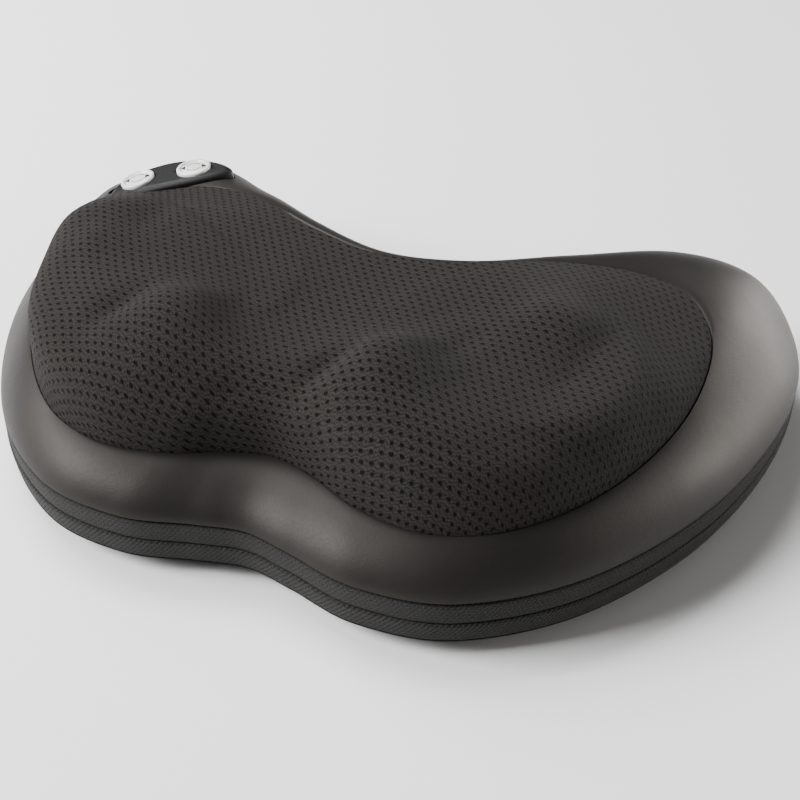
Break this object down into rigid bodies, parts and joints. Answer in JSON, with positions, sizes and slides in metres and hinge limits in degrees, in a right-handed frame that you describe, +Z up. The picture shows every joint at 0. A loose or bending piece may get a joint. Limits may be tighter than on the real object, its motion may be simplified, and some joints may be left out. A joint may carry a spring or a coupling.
{
  "type": "neck massager",
  "caption": "Bean-shaped zipped massage pillow with a mesh top over counter-rotating kneading heads on a worm drive, soft leather sides and a corner control pod.",
  "frame": {"origin": "on the resting plane, under the middle of the bounding box", "axes": "+X along the pillow, +Y towards the deeply waisted rear side, +Z up"},
  "size_m": [0.3504, 0.2389, 0.0874],
  "materials": {
    "leather": "satin",
    "mesh": "matte",
    "tape": "matte",
    "foam": "matte",
    "black_plastic": "matte",
    "grey_plastic": "matte",
    "white_plastic": "gloss",
    "nylon": "satin",
    "steel": "satin",
    "bronze": "satin",
    "board": "satin",
    "glass": "gloss"
  },
  "bodies": {
    "pillow": {"base_shell": "black_plastic", "board_capacitor": "black_plastic", "bottom_cover": "leather", "button_board": "board", "clamp_screw_1": "steel", "clamp_screw_2": "steel", "control_board": "board", "dc_jack": "black_plastic", "deck_plate": "black_plastic", "deck_screw_1": "steel", "deck_screw_2": "steel", "deck_screw_3": "steel", "deck_screw_4": "steel", "direction_button_switch": "black_plastic", "foam_surround": "foam", "heat_lamp_front": "glass", "heat_lamp_rear": "glass", "leather_skirt": "leather", "lower_bush_left": "bronze", "lower_bush_right": "bronze", "mesh_cover": "mesh", "motor_can": "steel", "motor_cap_left": "black_plastic", "motor_cap_right": "black_plastic", "motor_clamp": "grey_plastic", "panel_base": "grey_plastic", "panel_bezel": "black_plastic", "power_button_switch": "black_plastic", "shaft_bearing_left": "nylon", "shaft_bearing_right": "nylon", "upper_bush_left": "bronze", "upper_bush_right": "bronze", "zip_slider": "steel", "zip_tape_lower": "tape", "zip_tape_upper": "tape"},
    "kneader_left": {"output_shaft_left": "steel", "worm_wheel_left": "nylon", "carrier_left": "grey_plastic", "carrier_nut_left": "steel", "head_axle_left_inner": "steel", "head_axle_left_outer": "steel"},
    "head_left_inner": {"massage_head_left_inner": "nylon"},
    "head_left_outer": {"massage_head_left_outer": "nylon"},
    "kneader_right": {"output_shaft_right": "steel", "worm_wheel_right": "nylon", "carrier_right": "grey_plastic", "carrier_nut_right": "steel", "head_axle_right_inner": "steel", "head_axle_right_outer": "steel"},
    "head_right_inner": {"massage_head_right_inner": "nylon"},
    "head_right_outer": {"massage_head_right_outer": "nylon"},
    "rotor": {"motor_shaft": "steel", "armature": "bronze", "worm_left": "bronze", "worm_right": "bronze"},
    "power_key": {"power_button": "white_plastic"},
    "direction_key": {"direction_button": "white_plastic"},
    "pull_tab": {"zip_pull": "steel"}
  },
  "joints": [
    {"name": "kneader_right_turn", "type": "hinge", "parent": "pillow", "child": "kneader_right", "pos_m": [0.071, -0.021, 0.03], "axis": [0, 0, 1], "continuous": true},
    {"name": "kneader_left_turn", "type": "hinge", "parent": "pillow", "child": "kneader_left", "pos_m": [-0.071, -0.021, 0.03], "axis": [0, 0, 1], "continuous": true},
    {"name": "rotor_turn", "type": "hinge", "parent": "pillow", "child": "rotor", "pos_m": [0, -0.0522, 0.0205], "axis": [1, 0, 0], "continuous": true},
    {"name": "head_left_inner_spin", "type": "hinge", "parent": "kneader_left", "child": "head_left_inner", "pos_m": [-0.02862, -0.01504, 0.043], "axis": [0, 0, 1], "continuous": true},
    {"name": "head_left_outer_spin", "type": "hinge", "parent": "kneader_left", "child": "head_left_outer", "pos_m": [-0.11338, -0.02696, 0.043], "axis": [0, 0, 1], "continuous": true},
    {"name": "head_right_inner_spin", "type": "hinge", "parent": "kneader_right", "child": "head_right_inner", "pos_m": [0.04181, -0.0523, 0.043], "axis": [0, 0, 1], "continuous": true},
    {"name": "head_right_outer_spin", "type": "hinge", "parent": "kneader_right", "child": "head_right_outer", "pos_m": [0.10019, 0.0103, 0.043], "axis": [0, 0, 1], "continuous": true},
    {"name": "power_press", "type": "slide", "parent": "pillow", "child": "power_key", "axis": [-0.2548, -0.0753, 0.964], "range_m": [-0.0008, 0], "stiffness_N_per_m": 600, "springref_m": 0.0006},
    {"name": "direction_press", "type": "slide", "parent": "pillow", "child": "direction_key", "axis": [-0.1359, -0.0172, 0.9906], "range_m": [-0.0008, 0], "stiffness_N_per_m": 600, "springref_m": 0.0006},
    {"name": "pull_tab_swing", "type": "hinge", "parent": "pillow", "child": "pull_tab", "pos_m": [0, 0.0475, 0.0192], "axis": [1, 0, 0], "range_deg": [0, 150]}
  ],
  "couplings": [
    {"joint": "kneader_left_turn", "follows": "kneader_right_turn", "ratio": -1},
    {"joint": "rotor_turn", "follows": "kneader_right_turn", "ratio": -36}
  ]
}
